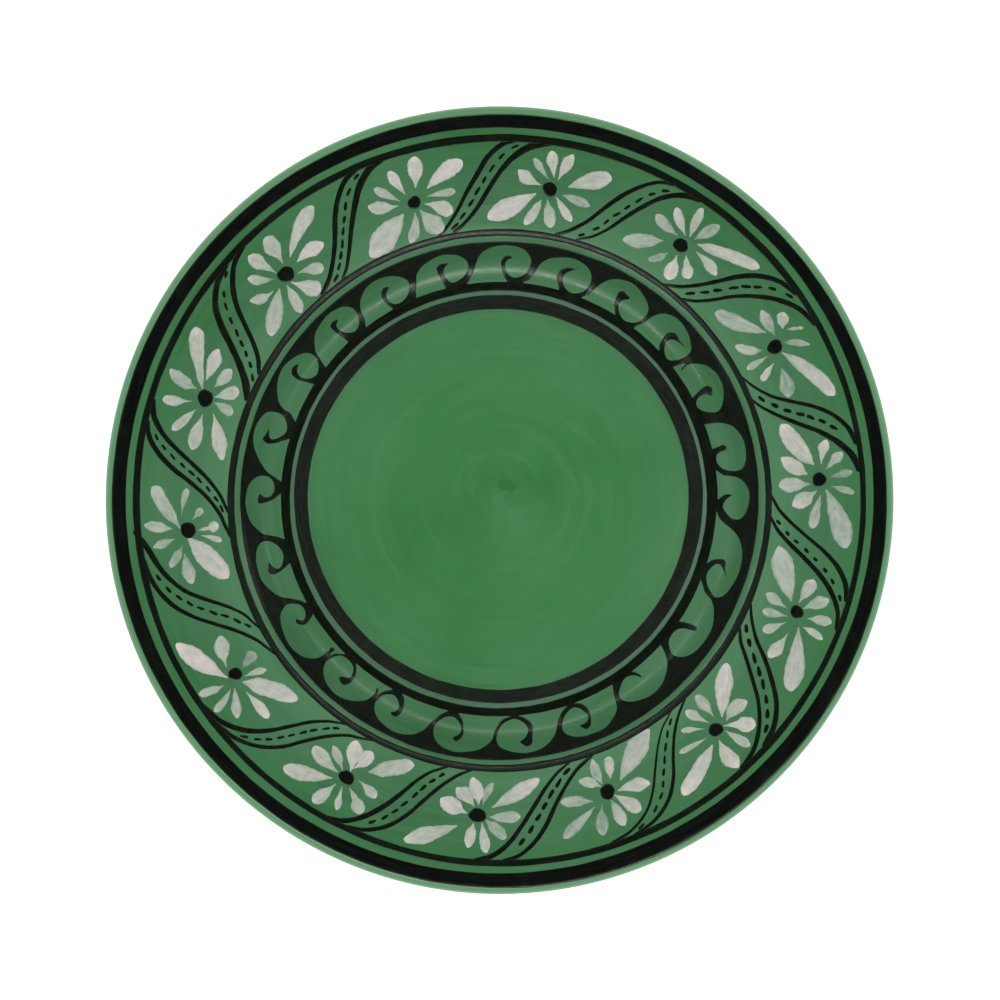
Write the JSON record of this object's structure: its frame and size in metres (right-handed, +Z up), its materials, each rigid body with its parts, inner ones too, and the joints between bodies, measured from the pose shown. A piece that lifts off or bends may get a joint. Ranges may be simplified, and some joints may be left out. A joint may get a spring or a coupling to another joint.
{
  "type": "hand painted ceramic plate",
  "caption": "Round glazed ceramic plate with a wide gently rising rim, a shallow flat well, a foot ring and painted slip bands, scrolls, ribbons and flowers on its face.",
  "frame": {"origin": "centre of the foot ring's resting plane, on the plate's turning axis", "axes": "+Z up along the turning axis, out of the eating face; +X and +Y lie in the resting plane, with flower_01 next to +X and the flowers numbered anticlockwise from above"},
  "size_m": [0.2702, 0.2702, 0.0267],
  "materials": {
    "bare_clay": "bare fired clay, matt, fine sandy grain",
    "green_glaze": "gloss green glaze with faint brush swirls",
    "black_slip": "gloss black, brushed by hand",
    "white_slip": "off-white brush strokes, thin enough in places for the green to show"
  },
  "bodies": {
    "root": {"clay_body": "bare_clay", "foot_ring": "bare_clay", "face_glaze": "green_glaze", "back_glaze": "green_glaze", "foot_well_glaze": "green_glaze", "well_band": "black_slip", "scroll_frieze": "black_slip", "shoulder_line": "black_slip", "rim_line": "black_slip", "lip_band": "black_slip", "ribbon_01": "black_slip", "ribbon_02": "black_slip", "ribbon_03": "black_slip", "ribbon_04": "black_slip", "ribbon_05": "black_slip", "ribbon_06": "black_slip", "ribbon_07": "black_slip", "ribbon_08": "black_slip", "ribbon_09": "black_slip", "ribbon_10": "black_slip", "ribbon_11": "black_slip", "ribbon_12": "black_slip", "ribbon_13": "black_slip", "ribbon_14": "black_slip", "flower_eye_01": "black_slip", "flower_eye_02": "black_slip", "flower_eye_03": "black_slip", "flower_eye_04": "black_slip", "flower_eye_05": "black_slip", "flower_eye_06": "black_slip", "flower_eye_07": "black_slip", "flower_eye_08": "black_slip", "flower_eye_09": "black_slip", "flower_eye_10": "black_slip", "flower_eye_11": "black_slip", "flower_eye_12": "black_slip", "flower_eye_13": "black_slip", "flower_eye_14": "black_slip", "flower_01": "white_slip", "flower_02": "white_slip", "flower_03": "white_slip", "flower_04": "white_slip", "flower_05": "white_slip", "flower_06": "white_slip", "flower_07": "white_slip", "flower_08": "white_slip", "flower_09": "white_slip", "flower_10": "white_slip", "flower_11": "white_slip", "flower_12": "white_slip", "flower_13": "white_slip", "flower_14": "white_slip"}
  },
  "joints": []
}
